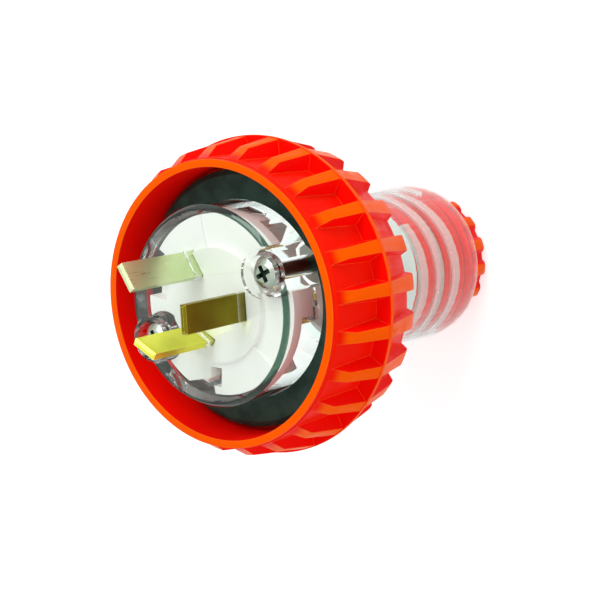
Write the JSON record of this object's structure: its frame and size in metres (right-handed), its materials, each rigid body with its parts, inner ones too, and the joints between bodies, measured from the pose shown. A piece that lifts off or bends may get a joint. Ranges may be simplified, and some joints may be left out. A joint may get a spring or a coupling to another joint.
{
  "type": "industrial plug",
  "caption": "Weatherproof flat-pin plug with a clear barrel and rear housing, a ribbed screw locking ring that turns, and a lobed gland nut that grips the cord",
  "frame": {"origin": "centre of the gland nut's flat end face, which the plug stands on", "axes": "+Z along the plug's axis from the gland nut towards the pins, +X from the axis towards the earth pin, +Y completing a right-handed frame"},
  "size_m": [0.0732, 0.0732, 0.1099],
  "materials": {
    "ring_orange": "satin moulded plastic",
    "nut_orange": "satin moulded plastic",
    "barrel_clear": "clear, polished",
    "housing_clear": "clear, polished",
    "carrier_white": "satin moulded plastic",
    "washer_white": "matte",
    "gasket_rubber": "matte",
    "seal_rubber": "matte",
    "pin_brass": "drawn",
    "plated_brass": "plated",
    "terminal_brass": "machined",
    "screw_steel": "plated"
  },
  "bodies": {
    "plug_body": {"front_barrel": "barrel_clear", "rear_housing": "housing_clear", "pin_carrier": "carrier_white", "channel_gasket": "gasket_rubber", "body_seal": "seal_rubber", "cable_seal": "seal_rubber", "earth_pin": "plated_brass", "active_pin": "pin_brass", "neutral_pin": "pin_brass", "earth_terminal": "terminal_brass", "active_terminal": "terminal_brass", "neutral_terminal": "terminal_brass", "earth_terminal_screw": "screw_steel", "active_terminal_screw": "screw_steel", "neutral_terminal_screw": "screw_steel", "left_insert": "terminal_brass", "right_insert": "terminal_brass", "left_face_screw": "screw_steel", "right_face_screw": "screw_steel"},
    "ring": {"locking_ring": "ring_orange"},
    "gland_slide": {"thrust_washer": "washer_white"},
    "nut": {"gland_nut": "nut_orange"}
  },
  "joints": [
    {"name": "ring_turn", "type": "hinge", "parent": "plug_body", "child": "ring", "pos_m": [0, 0, 0.071], "axis": [0, 0, 1], "continuous": true},
    {"name": "washer_slide", "type": "slide", "parent": "plug_body", "child": "gland_slide", "axis": [0, 0, -1], "range_m": [0, 0.011]},
    {"name": "nut_turn", "type": "hinge", "parent": "gland_slide", "child": "nut", "pos_m": [0, 0, 0.0036], "axis": [0, 0, -1], "range_deg": [0, 565.71]}
  ],
  "couplings": [
    {"joint": "nut_turn", "follows": "washer_slide", "rad_per_m": 897.6}
  ]
}
